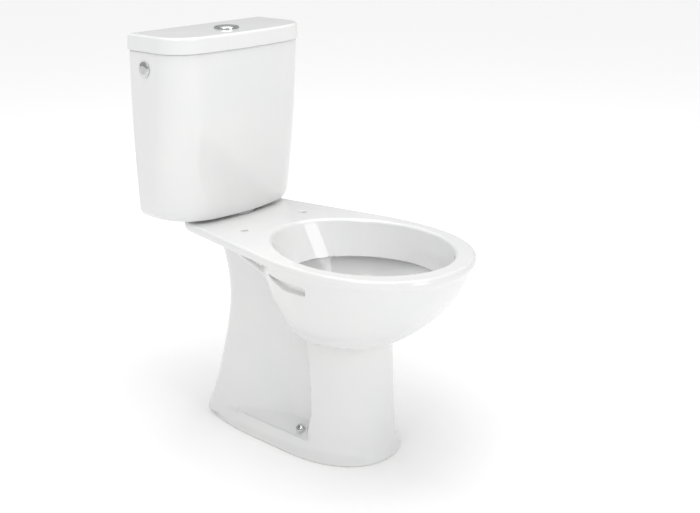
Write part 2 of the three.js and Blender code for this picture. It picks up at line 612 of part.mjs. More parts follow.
const sideGroup = (side) => {
  const group = new THREE.Group();
  group.position.set(0, fromWall(SIDE.fromWall), SIDE.z);
  group.rotation.y = (side * Math.PI) / 2;
  toilet.add(group);
  return group;
};
const plugGroup = sideGroup(-1);
const capFoot = wallOutside + GAP;
place('side_hole_plug', turned([
  [0, wallInside - 14], [SIDE.hole - 0.5, wallInside - 14], [SIDE.hole - 0.5, capFoot], [14, capFoot],
  [14, capFoot + 1.2], [12, capFoot + 2.6], [7.5, capFoot + 3.6], [0, capFoot + 4],
], 24), CHROME, plugGroup);
place('side_plug_washer', washer(SIDE.hole, 14, wallInside - 3, wallInside - GAP), BLACK_RUBBER, plugGroup);
const makePlugNut = () => cut(
  solid(hexPlate(15, wallInside - 11, wallInside - 3.3)),
  solid(cylinder(SIDE.hole - 0.5 + GAP, 130, 170, 24)),
);
place('side_plug_nut', toGeometry(makePlugNut()), WHITE_PLASTIC, plugGroup);

const inletGroup = sideGroup(1);
place('inlet_washer', washer(SIDE.hole, 14, wallInside - 3, wallInside - GAP), BLACK_RUBBER, inletGroup);
const makeInletNut = () => cut(
  solid(hexPlate(14, wallOutside + GAP, wallOutside + 7.5)),
  solid(cylinder(SIDE.hole - 0.5 + GAP, 150, 190, 24)),
);
place('inlet_nut', toGeometry(makeInletNut()), WHITE_PLASTIC, inletGroup);

// ---------------------------------------------------------------- fill valve
const fillY = fromWall(SIDE.fromWall);
const makeFillBody = () => {
  const along = (geometry) => solid(moved(geometry.rotateY(Math.PI / 2), 0, fillY, SIDE.z));
  const upright = (geometry) => solid(moved(geometry, FILL.x, fillY));
  const earY = LEVER.width / 2 + GAP;
  const ear = (low, high) => box([LEVER.pivotX - 5, FILL.x - 10], [fillY + low, fillY + high],
    [LEVER.pivotZ - 6, LEVER.pivotZ + 6]);
  const outside = join(
    upright(cylinder(FILL.radius, FILL.bottom, FILL.top)),
    along(cylinder(SIDE.hole - 0.5, FILL.x, FILL.shankEnd)),
    along(cylinder(14, wallInside - 8, wallInside - 3.3)),
    solid(ear(earY, earY + 3)),
    solid(ear(-earY - 3, -earY)),
  );
  const pinHole = cylinder(LEVER.pin + 0.05, -20, 20, 20).rotateX(Math.PI / 2);
  return cut(
    outside,
    along(cylinder(5, FILL.x, FILL.shankEnd + 5, 20)),
    upright(cylinder(8.4, FILL.bottom - 5, 690, 24)),
    solid(moved(pinHole, LEVER.pivotX, fillY, LEVER.pivotZ)),
  );
};
place('fill_valve_body', toGeometry(makeFillBody()), WHITE_PLASTIC);
place('fill_valve_cap', moved(turned([
  [0, FILL.top + GAP], [FILL.radius + 2, FILL.top + GAP], [FILL.radius + 2, FILL.top + 7],
  [FILL.radius - 2, FILL.top + 10], [0, FILL.top + 10],
]), FILL.x, fillY), BLUE_PLASTIC);
place('fill_silencer_tube', moved(washer(6.4, 8, 440, 684, 20), FILL.x, fillY), WHITE_PLASTIC);
const pin = cylinder(LEVER.pin, -LEVER.width / 2 - 4, LEVER.width / 2 + 4, 20).rotateX(Math.PI / 2);
place('float_pin', moved(pin, LEVER.pivotX, fillY, LEVER.pivotZ), STEEL);

const CUP = { x: [46, 88], y: [-27, 23], z: [640, 687], wall: 2 };
const makeLever = () => {
  const y = [fillY - LEVER.width / 2, fillY + LEVER.width / 2];
  const arm = solid(box([58, LEVER.pivotX], y, [LEVER.pivotZ - 4.5, LEVER.pivotZ + 4.5]));
  const eye = cylinder(4.5, -LEVER.width / 2, LEVER.width / 2, 20).rotateX(Math.PI / 2);
  const foot = solid(box([58, 72], [fillY - 12, fillY + 12], [CUP.z[1] + GAP, LEVER.pivotZ - 4]));
  const hole = cylinder(LEVER.pin + 0.1, -20, 20, 20).rotateX(Math.PI / 2);
  const atPivot = (geometry) => solid(moved(geometry, LEVER.pivotX, fillY, LEVER.pivotZ));
  return cut(join(arm, atPivot(eye), foot), atPivot(hole));
};
place('float_lever', toGeometry(makeLever()), GREY_PLASTIC);
const makeCup = () => {
  const y = CUP.y.map((value) => fillY + value);
  const within = ([low, high]) => [low + CUP.wall, high - CUP.wall];
  const inner = box(within(CUP.x), within(y), [CUP.z[0] - 1, CUP.z[1] - CUP.wall]);
  return cut(solid(box(CUP.x, y, CUP.z)), solid(inner));
};
place('float_cup', toGeometry(makeCup()), BLUE_PLASTIC);

// ---------------------------------------------------------------- floor screws
// They stand square to the sloping ledges.
for (const [side, name] of [[-1, 'left'], [1, 'right']]) {
  const group = new THREE.Group();
  group.position.set(side * FLOOR_SCREW.x, fromWall(FLOOR_SCREW.fromWall), ledgeHeight(FLOOR_SCREW.x));
  group.rotation.y = side * FLOOR_SCREW.tilt;
  toilet.add(group);
  const collar = turned([
    [3.2, -14], [4.3, -14], [4.3, GAP], [FLOOR_SCREW.head, GAP], [FLOOR_SCREW.head, 2.3], [3.2, 2.3],
  ], 20);
  place(`floor_screw_collar_${name}`, collar, WHITE_PLASTIC, group);
  const head = FLOOR_SCREW.head;
  const screw = cut(
    solid(turned([
      [0, -FLOOR_SCREW.length], [1.2, 3 - FLOOR_SCREW.length], [2.9, 6 - FLOOR_SCREW.length],
      [2.9, 2.6], [head, 2.6],
      [head, 4.2], [head * 0.8, 6.6], [head * 0.45, 8], [0, 8.4],
    ], 24)),
    solid(hexPlate(2.4, 5.5, 12)),
  );
  place(`floor_screw_${name}`, toGeometry(screw), CHROME, group);
}

export default toilet;
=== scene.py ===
"""Close coupled toilet: smooth glazed ceramic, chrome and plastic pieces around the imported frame.

Metres in the scene. The ceramic shapes are worked out in millimetres, as fields that are negative
inside the material, with "wall" the distance from the wall behind the tank.
"""

import json
import math

import bmesh
import bpy
import numpy as np
from mathutils import Matrix, Vector


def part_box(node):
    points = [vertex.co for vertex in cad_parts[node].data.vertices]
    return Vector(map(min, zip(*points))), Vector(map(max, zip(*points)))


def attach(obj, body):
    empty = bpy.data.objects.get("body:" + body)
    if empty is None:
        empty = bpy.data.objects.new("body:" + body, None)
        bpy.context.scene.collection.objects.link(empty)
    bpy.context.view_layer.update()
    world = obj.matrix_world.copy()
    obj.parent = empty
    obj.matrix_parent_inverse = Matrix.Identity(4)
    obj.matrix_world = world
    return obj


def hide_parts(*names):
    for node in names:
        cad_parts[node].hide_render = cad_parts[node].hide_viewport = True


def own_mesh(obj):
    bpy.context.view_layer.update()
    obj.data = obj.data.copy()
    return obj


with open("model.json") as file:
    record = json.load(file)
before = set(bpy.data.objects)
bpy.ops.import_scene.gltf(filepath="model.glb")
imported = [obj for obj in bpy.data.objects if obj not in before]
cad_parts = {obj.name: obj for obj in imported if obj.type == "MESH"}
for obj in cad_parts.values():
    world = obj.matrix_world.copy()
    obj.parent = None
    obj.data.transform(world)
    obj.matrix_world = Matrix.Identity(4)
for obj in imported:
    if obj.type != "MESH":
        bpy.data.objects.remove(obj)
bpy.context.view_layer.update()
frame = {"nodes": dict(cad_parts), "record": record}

MM = 0.001
DEPTH = 627.0  # wall to the tip of the rim
PAN_STEP = 2.6  # grid of the pan's surface
PAN_TRIANGLES = 180000

# Sizes of the toilet in mm. "wall" and "back" are distances from the wall, "side" is from the middle.
RIM = {"top": 403, "half_width": 168, "widest": 405, "power": 2.25, "bottom": 387}
OPENING = {"half_width": 141.5, "front": 596, "widest": 427, "back": 234.6}
SKIRT = {"bottom": 335, "half_width": 130, "front": 583, "widest": 430, "back": 270, "thickness": 7}
CREASE = 228  # height where the bowl meets the front column
BOWL_TOP = 399
DECK_UNDERSIDE = 392
FOOT_LIP = 34
LEDGE = {"outer": 99, "inner": 60, "slope": 0.83, "lip": 96.5, "sunk": 4}
FLOOR_SCREW = {"side": 84.5, "wall": 340}
SEAT_HOLE = {"side": 77.5, "wall": 199, "radius": 7}
SLOT = {"top": 370, "height": 16, "from": 334, "to": 431, "depth": 8.5}
RIB = ((130, 226, 391), (137, 252, 383), (140, 291, 373), (139, 319, 362), (128, 338, 340))  # side, wall, z
RIB_RADIUS = 4.5
FLUSH = {"wall": 86, "hole": 27, "seat": 42, "seat_z": 394}
COUPLING = {"side": 70, "wall": 72, "hole": 6}
TRAP = {"bore": 30, "bend": 44, "dip": 146, "weir": 256}
OUTLET = {"wall": 172, "bottom": 14, "spigot": 50}
TANK = {"bottom": 409, "top": 724, "floor": 12, "wall": 9, "back": 2, "bulge": 7, "back_radius": 4}
LID = {"bottom": 724.3, "top": 753.5, "half_width": 165, "depth": 152.5, "corner": 61, "lip": 714.3}
BUTTON_WALL = 87
BUTTON_HOLE = 21


# ---------------------------------------------------------------- combining fields
def overlap(a, b, radius):
    """What two fields have in common, with its edge rounded."""
    corner = np.hypot(np.maximum(a + radius, 0), np.maximum(b + radius, 0))
    return np.minimum(np.maximum(a, b), -radius) + corner


def union(a, b, radius):
    """Two fields together, with a fillet where they meet."""
    corner = np.hypot(np.maximum(radius - a, 0), np.maximum(radius - b, 0))
    return np.maximum(np.minimum(a, b), radius) - corner


def carve(body, tool, radius):
    return overlap(body, -tool, radius)


def metric(shape):
    """Scales a shape's values so that they are distances near its surface."""
    def field(side, wall, z):
        value = shape(side, wall, z)
        nudge = 0.4
        slopes = (
            shape(side + nudge, wall, z) - value,
            shape(side, wall + nudge, z) - value,
            shape(side, wall, z + nudge) - value,
        )
        steepness = np.sqrt(sum(slope * slope for slope in slopes)) / nudge
        return value / np.maximum(steepness, 1e-4)
    return field


def smooth_curve(places, values):
    """A function through the given values, rounded between them instead of straight."""
    fine = np.linspace(places[0], places[-1], 400)
    slopes = np.gradient(np.array(values, float), np.array(places, float))
    index = np.clip(np.searchsorted(places, fine, side="right") - 1, 0, len(places) - 2)
    span = np.diff(places)[index]
    t = (fine - np.array(places)[index]) / span
    start, end = np.array(values)[index], np.array(values)[index + 1]
    curve = (
        start * (1 + 2 * t) * (1 - t) ** 2
        + slopes[index] * span * t * (1 - t) ** 2
        + end * t * t * (3 - 2 * t)
        + slopes[index + 1] * span * t * t * (t - 1)
    )
    return lambda place: np.interp(place, fine, curve)


def egg(side, wall, half_width, front, widest, back, front_power=2.0, back_power=2.0):
    """Superellipse about its widest place: the size of a point's own outline, less one."""
    ahead = wall > widest
    power = np.where(ahead, front_power, back_power)
    reach = np.where(ahead, front - widest, widest - back)
    across = np.abs(side) / half_width
    along = np.abs(wall - widest) / reach
    return (across**power + along**power) ** (1 / power) - 1


# ---------------------------------------------------------------- the pan's parts
def column_shape(side, wall, z):
    rise = 1 - np.clip(z, 0, CREASE) / CREASE
    flare = np.exp(-((np.maximum(z, 0) / 22) ** 1.5))
    half_width = 84 + 15 * rise + 9.3 * flare
    front = 471 + 4 * rise + 7 * flare
    back = 67 + np.maximum(z, 0) / 3
    return egg(side, wall, half_width, front, 323, back, 2.2, 4)


def bowl_shape(side, wall, z):
    rise = np.clip((z - CREASE) / (BOWL_TOP - CREASE), 0, 1)
    swell = (1 - (1 - rise) ** 1.612) ** (1 / 1.291)
    back = 294 - 66 * rise**0.63
    return egg(side, wall, 84 + 84 * swell, 471 + 155 * swell, 370 + 35 * rise, back, 2.2, 2)


def rim_side():
    """Half width of the rim and deck against the distance from the wall, behind the widest place."""
    t = np.linspace(0, 1, 40)
    weights = ((1 - t) ** 3, 3 * t * (1 - t) ** 2, 3 * t * t * (1 - t), t**3)
    walls = sum(weight * wall for weight, wall in zip(weights, (405, 350, 310, 270)))
    halves = sum(weight * half for weight, half in zip(weights, (168, 168, 158, 151.6)))
    taper = (151.6 - 122) / (270 - 98)
    walls = np.append(walls, 0)
    halves = np.append(halves, 151.6 - 270 * taper)
    return lambda wall: np.interp(wall, walls[::-1], halves[::-1])


rim_half_width = rim_side()


def rim_shape(side, wall, z):
    ahead = np.maximum(wall - RIM["widest"], 0) / (DEPTH - RIM["widest"])
    across = side / RIM["half_width"]
    front = (np.abs(across) ** RIM["power"] + ahead ** RIM["power"]) ** (1 / RIM["power"]) - 1
    return np.where(wall > RIM["widest"], front, side / rim_half_width(wall) - 1)


def throat_shape(grow):
    def shape(side, wall, z):
        share = np.clip((RIM["top"] - z) / (RIM["top"] - SKIRT["bottom"]), 0, 1.1)
        half_width, front, widest, back = (
            OPENING[key] + (SKIRT[key] - OPENING[key]) * share
            for key in ("half_width", "front", "widest", "back")
        )
        return egg(side, wall, half_width + grow, front + grow, widest, back - grow, 1.93, 1.9)
    return shape


bowl_heights = (112, 122, 160, 200, 232, 262, 300, 335, 388)
bowl_half_width = smooth_curve(bowl_heights, (30, 42, 48, 58, 73, 101, 126, 143, 156))
bowl_front = smooth_curve(bowl_heights, (395, 406, 415, 430, 457, 512, 560, 590, 613))
bowl_widest = smooth_curve(bowl_heights, (365, 366, 368, 370, 375, 386, 396, 404, 410))
bowl_back = smooth_curve(bowl_heights, (335, 328, 324, 316, 300, 281, 265, 253, 226))


def bowl_inside_shape(side, wall, z):
    return egg(side, wall, bowl_half_width(z), bowl_front(z), bowl_widest(z), bowl_back(z))


hollow_heights = (-1, 20, 48, 96)
hollow_half_width = smooth_curve(hollow_heights, (96, 86, 56, 46))
hollow_front = smooth_curve(hollow_heights, (470, 462, 455, 440))
hollow_back = smooth_curve(hollow_heights, (80, 96, 118, 150))


def foot_hollow_shape(side, wall, z):
    return egg(side, wall, hollow_half_width(z), hollow_front(z), 323, hollow_back(z), 2.3, 3)


web_heights = (12, 34, 90, 140, 200, 270, 333, 362, 390)
web_back = smooth_curve(web_heights, (72, 79, 97, 107, 118, 122, 114, 106, 90))
web_middle = smooth_curve(web_heights, (72, 68, 65, 63, 61, 60, 60, 60, 62))
web_side = smooth_curve(web_heights, (99, 95, 88, 82, 76, 71, 72, 75, 84))


def back_column(side, wall, z):
    """Web and back column: rounded back corners, sides that draw in towards the front."""
    back, middle, flank = web_back(z), web_middle(z), web_side(z)
    bend = 152 - back
    root = np.sqrt(np.maximum(116**2 - 4 * bend * (back + 32 - wall), 0))
    t = np.clip((root - 116) / (2 * bend), 0, 1)
    half_width = flank * (1 - t * t) + (middle + 3) * t * t - 3 * np.clip((wall - 300) / 100, 0, 1)
    return overlap(side - half_width, back - wall, 38)


column_back = smooth_curve((0, 20, 115, 190, 228, 250, 300), (372, 371, 369, 362, 354, 340, 320))

column = metric(column_shape)
bowl = metric(bowl_shape)
rim = metric(rim_shape)
throat = metric(throat_shape(0))
skirt = metric(throat_shape(SKIRT["thickness"]))
bowl_inside = metric(bowl_inside_shape)
foot_hollow = metric(foot_hollow_shape)


def trap_path():
    """Centre line of the trap as points (side, wall, z): sump, dip, weir, outlet."""
    bend, turn = TRAP["bend"], np.linspace(0, 1, 7)

    def arc_about(wall, z, angles):
        return [(0, wall + bend * math.cos(a), z + bend * math.sin(a)) for a in angles]

    crown = OUTLET["wall"] + bend
    dip = arc_about(crown + 2 * bend, TRAP["dip"] + bend, (1.5 - 0.5 * turn) * math.pi)
    weir = arc_about(crown, TRAP["weir"] - bend, turn * math.pi)
    start = [(0, 390, TRAP["dip"] + 3), (0, 350, TRAP["dip"])]
    return start + dip + weir + [(0, OUTLET["wall"], 130), (0, OUTLET["wall"], -6)]


def round_bar(path, radius, close, side, wall, z):
    """A round bar along a path of (side, wall, z), worked out only for the points that are close."""
    nearest = np.full(side.shape, 1000.0)
    points = np.stack([side[close], wall[close], z[close]], axis=-1)
    best = np.full(len(points), 1e6)
    path = np.array(path, float)
    for start, end in zip(path[:-1], path[1:]):
        run = end - start
        share = np.clip((points - start) @ run / (run @ run), 0, 1)
        best = np.minimum(best, np.sum((points - start - share[:, None] * run) ** 2, axis=1))
    nearest[close] = np.sqrt(best) - radius
    return nearest


def trap_bore(side, wall, z):
    close = (side < 60) & (z < 320) & (wall > 110) & (wall < 440)
    return round_bar(trap_path(), TRAP["bore"], close, side, wall, z)


def under_rib(side, wall, z):
    """Rounded rib under the deck, from the back column to the bowl."""
    close = (side > 90) & (z > 300) & (wall > 190) & (wall < 370)
    return round_bar(RIB, RIB_RADIUS, close, side, wall, z)


def pan_outside(side, wall, z):
    """Foot with its side pockets, bowl, back column, deck and the boss round the flush inlet."""
    ledge = FOOT_LIP + (LEDGE["outer"] - np.clip(side, LEDGE["inner"], LEDGE["outer"])) * LEDGE["slope"]
    ledge -= LEDGE["sunk"] * np.clip((LEDGE["lip"] - side) / 3, 0, 1)
    slant = 0.5 * np.clip(84 - z, 0, 34) * np.clip((96 - side) / 14, 0, 1)
    pocket = overlap(wall - column_back(z) + slant, ledge - z, 3)
    behind = overlap(wall - 180, 30 - z, 4)
    foot = overlap(column(side, wall, z), z - CREASE - 6, 3)
    foot = carve(carve(foot, pocket, 2.4), behind, 4)
    foot = overlap(foot, -z, 2)
    body = union(foot, overlap(bowl(side, wall, z), CREASE - z, 14), 8)
    web = np.maximum(back_column(side, wall, z), np.maximum(12 - z, wall - 400))
    body = union(body, np.maximum(web, z - DECK_UNDERSIDE), 9)
    plan = overlap(rim(side, wall, z), 34 - wall, 62)
    middle = (RIM["top"] + RIM["bottom"]) / 2
    slab = overlap(plan, np.abs(z - middle) - (RIM["top"] - middle), 5.5)
    body = union(np.maximum(body, z - DECK_UNDERSIDE), slab, 7)
    body = union(body, under_rib(side, wall, z), 5)
    boss = np.maximum(np.hypot(side, wall - FLUSH["wall"]) - 40, np.maximum(346 - z, z - 395))
    return union(body, boss, 6)


def pan_cavity(side, wall, z):
    """Inside of the bowl with the rim's skirt hanging into it."""
    chamber = overlap(bowl_inside(side, wall, z), np.maximum(z - 386, 112 - z), 8)
    hanging = overlap(skirt(side, wall, z), SKIRT["bottom"] - z, 3)
    opening = np.maximum(throat(side, wall, z), SKIRT["bottom"] - 8 - z)
    return np.minimum(opening, carve(chamber, hanging, 2))


def pan_field(side, wall, z):
    """The whole pan: outside less cavity, slots, holes, hollow foot and trap."""
    body = carve(pan_outside(side, wall, z), pan_cavity(side, wall, z), 5)
    height = SLOT["height"] * np.clip((wall - SLOT["from"]) / 50, 0.05, 1) ** 0.8
    across = np.abs(z - SLOT["top"] + height / 2) - height / 2
    middle = (SLOT["from"] + SLOT["to"]) / 2
    along = np.abs(wall - middle) - (SLOT["to"] - SLOT["from"]) / 2
    slot = overlap(overlap(across, along, 6), -SLOT["depth"] - bowl(side, wall, z), 4)
    body = carve(body, slot, 2)
    seat_hole = np.hypot(side - SEAT_HOLE["side"], wall - SEAT_HOLE["wall"]) - SEAT_HOLE["radius"]
    body = carve(body, np.maximum(seat_hole, 340 - z), 1.8)
    from_flush = np.hypot(side, wall - FLUSH["wall"])
    gasket_seat = np.maximum(from_flush - FLUSH["seat"], FLUSH["seat_z"] - z)
    flush_hole = np.maximum(from_flush - FLUSH["hole"], 358 - z)
    from_bolt = np.hypot(side - COUPLING["side"], wall - COUPLING["wall"])
    bolt_hole = np.maximum(from_bolt - COUPLING["hole"], 340 - z)
    body = np.maximum(body, -np.minimum(np.minimum(gasket_seat, flush_hole), bolt_hole))
    spigot = np.maximum(np.hypot(side, wall - OUTLET["wall"]) - OUTLET["spigot"], OUTLET["bottom"] - z)
    hollow = carve(overlap(foot_hollow(side, wall, z), z - 96, 12), spigot, 3)
    body = carve(body, hollow, 2)
    return carve(body, trap_bore(side, wall, z), 2)


# ---------------------------------------------------------------- meshes from fields
def evaluate(field, points):
    return field(np.abs(points[:, 0]), DEPTH / 2 - points[:, 1], points[:, 2])


def gradient(field, points, value=None, nudge=0.25):
    value = evaluate(field, points) if value is None else value
    offsets = np.eye(3) * nudge
    return np.stack([(evaluate(field, points + offset) - value) / nudge for offset in offsets], 1)


def sample(field, low, high, step):
    """The field on a grid that is the same on both sides of x = 0, exact near the surface."""
    block = 4
    count = np.ceil((high - low) / (step * block)).astype(int)
    count[0] += count[0] % 2
    low = np.array([-count[0] * step * block / 2, low[1], low[2]])
    centres = [low[k] + (np.arange(count[k]) + 0.5) * step * block for k in range(3)]
    coarse_points = np.stack(np.meshgrid(*centres, indexing="ij"), -1).reshape(-1, 3)
    coarse = evaluate(field, coarse_points).reshape(count)
    values = coarse.repeat(block, 0).repeat(block, 1).repeat(block, 2)
    near = np.abs(values) < 3.2 * step * block
    near[: near.shape[0] // 2] = False
    where = np.argwhere(near)
    values[near] = evaluate(field, low + (where + 0.5) * step)
    half = values.shape[0] // 2
    values[:half] = values[half:][::-1]
    return values, low + step / 2


def surface_net(values, low, step):
    """Vertices and quads round the zero level of a sampled field."""
    quads, crossings = [], []
    for axis in range(3):
        last = values.shape[axis] - 1
        sign = values < 0
        changes = np.take(sign, range(last), axis) != np.take(sign, range(1, last + 1), axis)
        start = np.argwhere(changes)
        end = start.copy()
        end[:, axis] += 1
        here, there = values[tuple(start.T)], values[tuple(end.T)]
        crossing = start.astype(float)
        crossing[:, axis] += here / (here - there)
        first, second = (axis + 1) % 3, (axis + 2) % 3
        corners = []
        for back, down in ((0, 0), (-1, 0), (-1, -1), (0, -1)):
            cell = start.copy()
            cell[:, first] += back
            cell[:, second] += down
            corners.append(np.ravel_multi_index(cell.T, values.shape))
        quad = np.stack(corners, 1)
        quad[here > 0] = quad[here > 0][:, ::-1]
        quads.append(quad)
        crossings.append(np.repeat(crossing[:, None], 4, 1))
    used, corner = np.unique(np.concatenate(quads), return_inverse=True)
    corner = corner.reshape(-1)
    points = np.concatenate(crossings).reshape(-1, 3)
    totals = np.stack([np.bincount(corner, points[:, k], len(used)) for k in range(3)], 1)
    return low + totals / np.bincount(corner)[:, None] * step, corner.reshape(-1, 4)


def settle(field, points, furthest, rounds=2):
    """Moves points onto the field's zero level."""
    for _ in range(rounds):
        value = evaluate(field, points)
        slope = gradient(field, points, value)
        move = slope * (value / np.maximum((slope * slope).sum(1), 0.05))[:, None]
        length = np.linalg.norm(move, axis=1, keepdims=True)
        points = points - move * np.minimum(1, furthest / np.maximum(length, 1e-9))
    return points


def new_object(name, vertices, faces):
    mesh = bpy.data.meshes.new(name)
    mesh.from_pydata([tuple(v) for v in vertices], [], [tuple(f) for f in faces])
    mesh.validate()
    made = bpy.data.objects.new(name, mesh)
    bpy.context.scene.collection.objects.link(made)
    return made


def apply_modifiers(piece):
    graph = bpy.context.evaluated_depsgraph_get()
    mesh = bpy.data.meshes.new_from_object(piece.evaluated_get(graph))
    piece.modifiers.clear()
    piece.data = mesh


def smooth(piece, angle=35):
    piece.data.shade_smooth()
    piece.data.set_sharp_from_angle(angle=math.radians(angle))


def field_piece(name, field, low, high, step, triangles):
    values, origin = sample(field, np.array(low, float), np.array(high, float), step)
    vertices, quads = surface_net(values, origin, step)
    vertices = settle(field, vertices, step * 0.7)
    piece = new_object(name, vertices * MM, quads)
    if 2 * len(quads) > triangles:
        thin = piece.modifiers.new("thin", "DECIMATE")
        thin.ratio = triangles / (2 * len(quads))
        apply_modifiers(piece)
    found = np.empty(len(piece.data.vertices) * 3)
    piece.data.vertices.foreach_get("co", found)
    found = settle(field, found.reshape(-1, 3) / MM, step * 0.4, 1)
    piece.data.vertices.foreach_set("co", (found * MM).ravel())
    normals = gradient(field, found)
    normals /= np.maximum(np.linalg.norm(normals, axis=1, keepdims=True), 1e-9)
    piece.data.shade_smooth()
    piece.data.normals_split_custom_set_from_vertices([tuple(n) for n in normals])
    return piece


# ---------------------------------------------------------------- meshes from rings
def ring_piece(name, rings, closed_loop):
    """Quads between neighbouring rings of equal size. An open stack of rings gets end caps."""
    count = len(rings[0])
    vertices = [point for ring in rings for point in ring]
    faces = []
    pairs = len(rings) if closed_loop else len(rings) - 1
    for level in range(pairs):
        below, above = level * count, (level + 1) % len(rings) * count
        for i in range(count):
            j = (i + 1) % count
            faces.append((below + i, below + j, above + j, above + i))
    if not closed_loop:
        faces.append(tuple(reversed(range(count))))
        faces.append(tuple(range(len(vertices) - count, len(vertices))))
    return new_object(name, vertices, faces)


def turned_piece(name, profile, at=(0, 0, 0), turn=Matrix.Identity(3), segments=96, closed_loop=False):
    """A lathe piece from (radius, height) points in mm; it stands on at, in metres."""
    rings = []
    for radius, height in profile:
        angles = np.arange(segments) * 2 * math.pi / segments
        ring = [Vector((radius * math.cos(a), radius * math.sin(a), height)) * MM for a in angles]
        rings.append([turn @ point + Vector(at) for point in ring])
    piece = ring_piece(name, rings, closed_loop)
    smooth(piece)
    return piece


def arc(centre, radius, start, end, steps=8):
    """Points on an arc in a profile, angles in degrees."""
    angles = np.radians(np.linspace(start, end, steps + 1))
    return [(centre[0] + radius * math.cos(a), centre[1] + radius * math.sin(a)) for a in angles]


def cistern_outline(half_width, depth, corner, back):
    """D-shaped outline seen from above, in mm: flat back, wide front corners, bowed front."""
    small = min(TANK["back_radius"], corner)
    front = depth - TANK["bulge"]
    half = [(half_width - small) * t for t in np.linspace(0, 1, 8)[:-1]]
    left = [(-x, back) for x in half]
    left += [(-x, w) for x, w in arc((half_width - small, back + small), small, -90, 0, 9)[:-1]]
    left += [(-half_width, w) for w in np.linspace(back + small, front - corner, 7)[:-1]]
    end = 90 - math.degrees(0.12)
    left += [(-x, w) for x, w in arc((half_width - corner, front - corner), corner, 0, end, 26)[:-1]]
    start_x = half_width - corner + corner * math.sin(0.12)
    start_wall = front - corner * (1 - math.cos(0.12))
    middle_x = (half_width - corner) / 2
    for t in np.linspace(0, 1, 15):
        x = start_x * (1 - t) ** 2 + middle_x * 2 * t * (1 - t)
        wall = start_wall * (1 - t) ** 2 + depth * (2 * t * (1 - t) + t * t)
        left.append((-x, wall))
    right = [(-x, wall) for x, wall in reversed(left[1:-1])]
    return left + right


def tank_size(z):
    drop = (TANK["top"] - z) / (TANK["top"] - TANK["bottom"])
    underside = max(0, 1 - (z - TANK["bottom"]) / 22)
    rounding = 1 - math.sqrt(1 - underside**2)
    half_width = 162 + 3 * math.sin(math.pi * drop) - 17 * rounding
    depth = 149.5 - 13 * drop - 5 * drop**2 - 4 * rounding
    return half_width, depth, 60 + 28 * drop - 8 * rounding


def at_height(outline, z):
    return [Vector((x, DEPTH / 2 - wall, z)) * MM for x, wall in outline]


def make_tank():
    """One skin: underside, outside, rounded top edge, inside, floor."""
    top, bottom, wall = TANK["top"], TANK["bottom"], TANK["wall"]
    floor = bottom + TANK["floor"]
    path = [(40, bottom), (14, bottom), (5, bottom)]
    path += [(0, bottom + 22 * (1 - math.sin(a))) for a in np.radians(np.linspace(84, 0, 12))]
    path += [(0, z) for z in np.linspace(bottom + 22, top - 3, 14)[1:-1]]
    path += [(3 + x, top - 3 + z) for x, z in arc((0, 0), 3, 180, 90, 6)]
    path += [(wall - 3 + x, top - 3 + z) for x, z in arc((0, 0), 3, 90, 0, 6)]
    path += [(wall, z) for z in np.linspace(top - 3, floor + 10, 10)[1:-1]]
    path += [(wall + 10 + x, floor + 10 + z) for x, z in arc((0, 0), 10, 180, 270, 8)]
    path += [(40, floor)]
    rings = []
    for inset, z in path:
        half_width, depth, corner = tank_size(max(z, bottom))
        outline = cistern_outline(half_width - inset, depth - inset, corner - inset, TANK["back"] + inset)
        rings.append(at_height(outline, z))
    piece = ring_piece("tank_shell", [ring[::-1] for ring in rings], False)
    smooth(piece, 50)
    return piece


def lid_outline(inset):
    half_width, depth, corner = (LID[key] - inset for key in ("half_width", "depth", "corner"))
    return cistern_outline(half_width, depth, corner, max(inset, 0.4))


def hole_outline(radius, like):
    """A circle round the button's axis with one point for each point of an outline."""
    angles = [math.atan2(wall - BUTTON_WALL, x) for x, wall in like]
    return [(radius * math.cos(a), BUTTON_WALL + radius * math.sin(a)) for a in angles]


def make_lid():
    """One closed skin: outer edge, top, button hole, underside and locating lip."""
    low, top, lip = LID["bottom"], LID["top"], LID["lip"]
    roof = top - 10
    outer = [(5, low), (2, low), (0.6, low + 0.4), (0, low + 1.8), (0, low + 4), (0.3, 735), (0.7, 741)]
    outer += [(0.9, 747)] + [(6.4 + x, top - 5.5 + z) for x, z in arc((0, 0), 5.5, 180, 90, 12)]
    outer += [(14, top), (24, top)]
    rings = [at_height(lid_outline(inset), z) for inset, z in outer]
    circle = lid_outline(24)
    for radius, z in ((34, top), (24, top), (BUTTON_HOLE + 1, top), (BUTTON_HOLE, top - 1)):
        rings.append(at_height(hole_outline(radius, circle), z))
    for radius, z in ((BUTTON_HOLE, roof + 0.6), (BUTTON_HOLE + 0.6, roof), (40, roof)):
        rings.append(at_height(hole_outline(radius, circle), z))
    inner = [(30, roof)] + [(27 + x, roof - 6 + z) for x, z in arc((0, 0), 6, 90, 180, 6)]
    inner += [(21, lip + 2), (20, lip + 0.5), (18, lip), (16, lip + 0.5), (15, lip + 2)]
    inner += [(15, low - 1), (13, low)]
    rings += [at_height(lid_outline(inset), z) for inset, z in inner]
    piece = ring_piece("lid_shell", [ring[::-1] for ring in rings], True)
    smooth(piece, 50)
    return piece


# ---------------------------------------------------------------- small pieces
button_axis = Vector((0, DEPTH / 2 - BUTTON_WALL, 0)) * MM
SPLIT = -3.5  # the slot between the two buttons, off the middle
SLOT_HALF = 0.4
BUTTON = {"radius": 18.6, "bottom": 747, "top": 759}


def make_bezel():
    inner, outer, seat = BUTTON["radius"] + 0.5, 23.5, LID["top"] + 0.3
    profile = [(inner, seat), (outer - 0.3, seat), (outer, seat + 0.3), (outer, seat + 1)]
    profile += arc((outer - 2.6, seat + 1), 2.6, 15, 90, 8)
    profile += [(inner + 0.9, seat + 3.5), (inner + 0.3, seat + 3.3), (inner, seat + 2.6)]
    return turned_piece("bezel_ring", profile, button_axis, closed_loop=True)


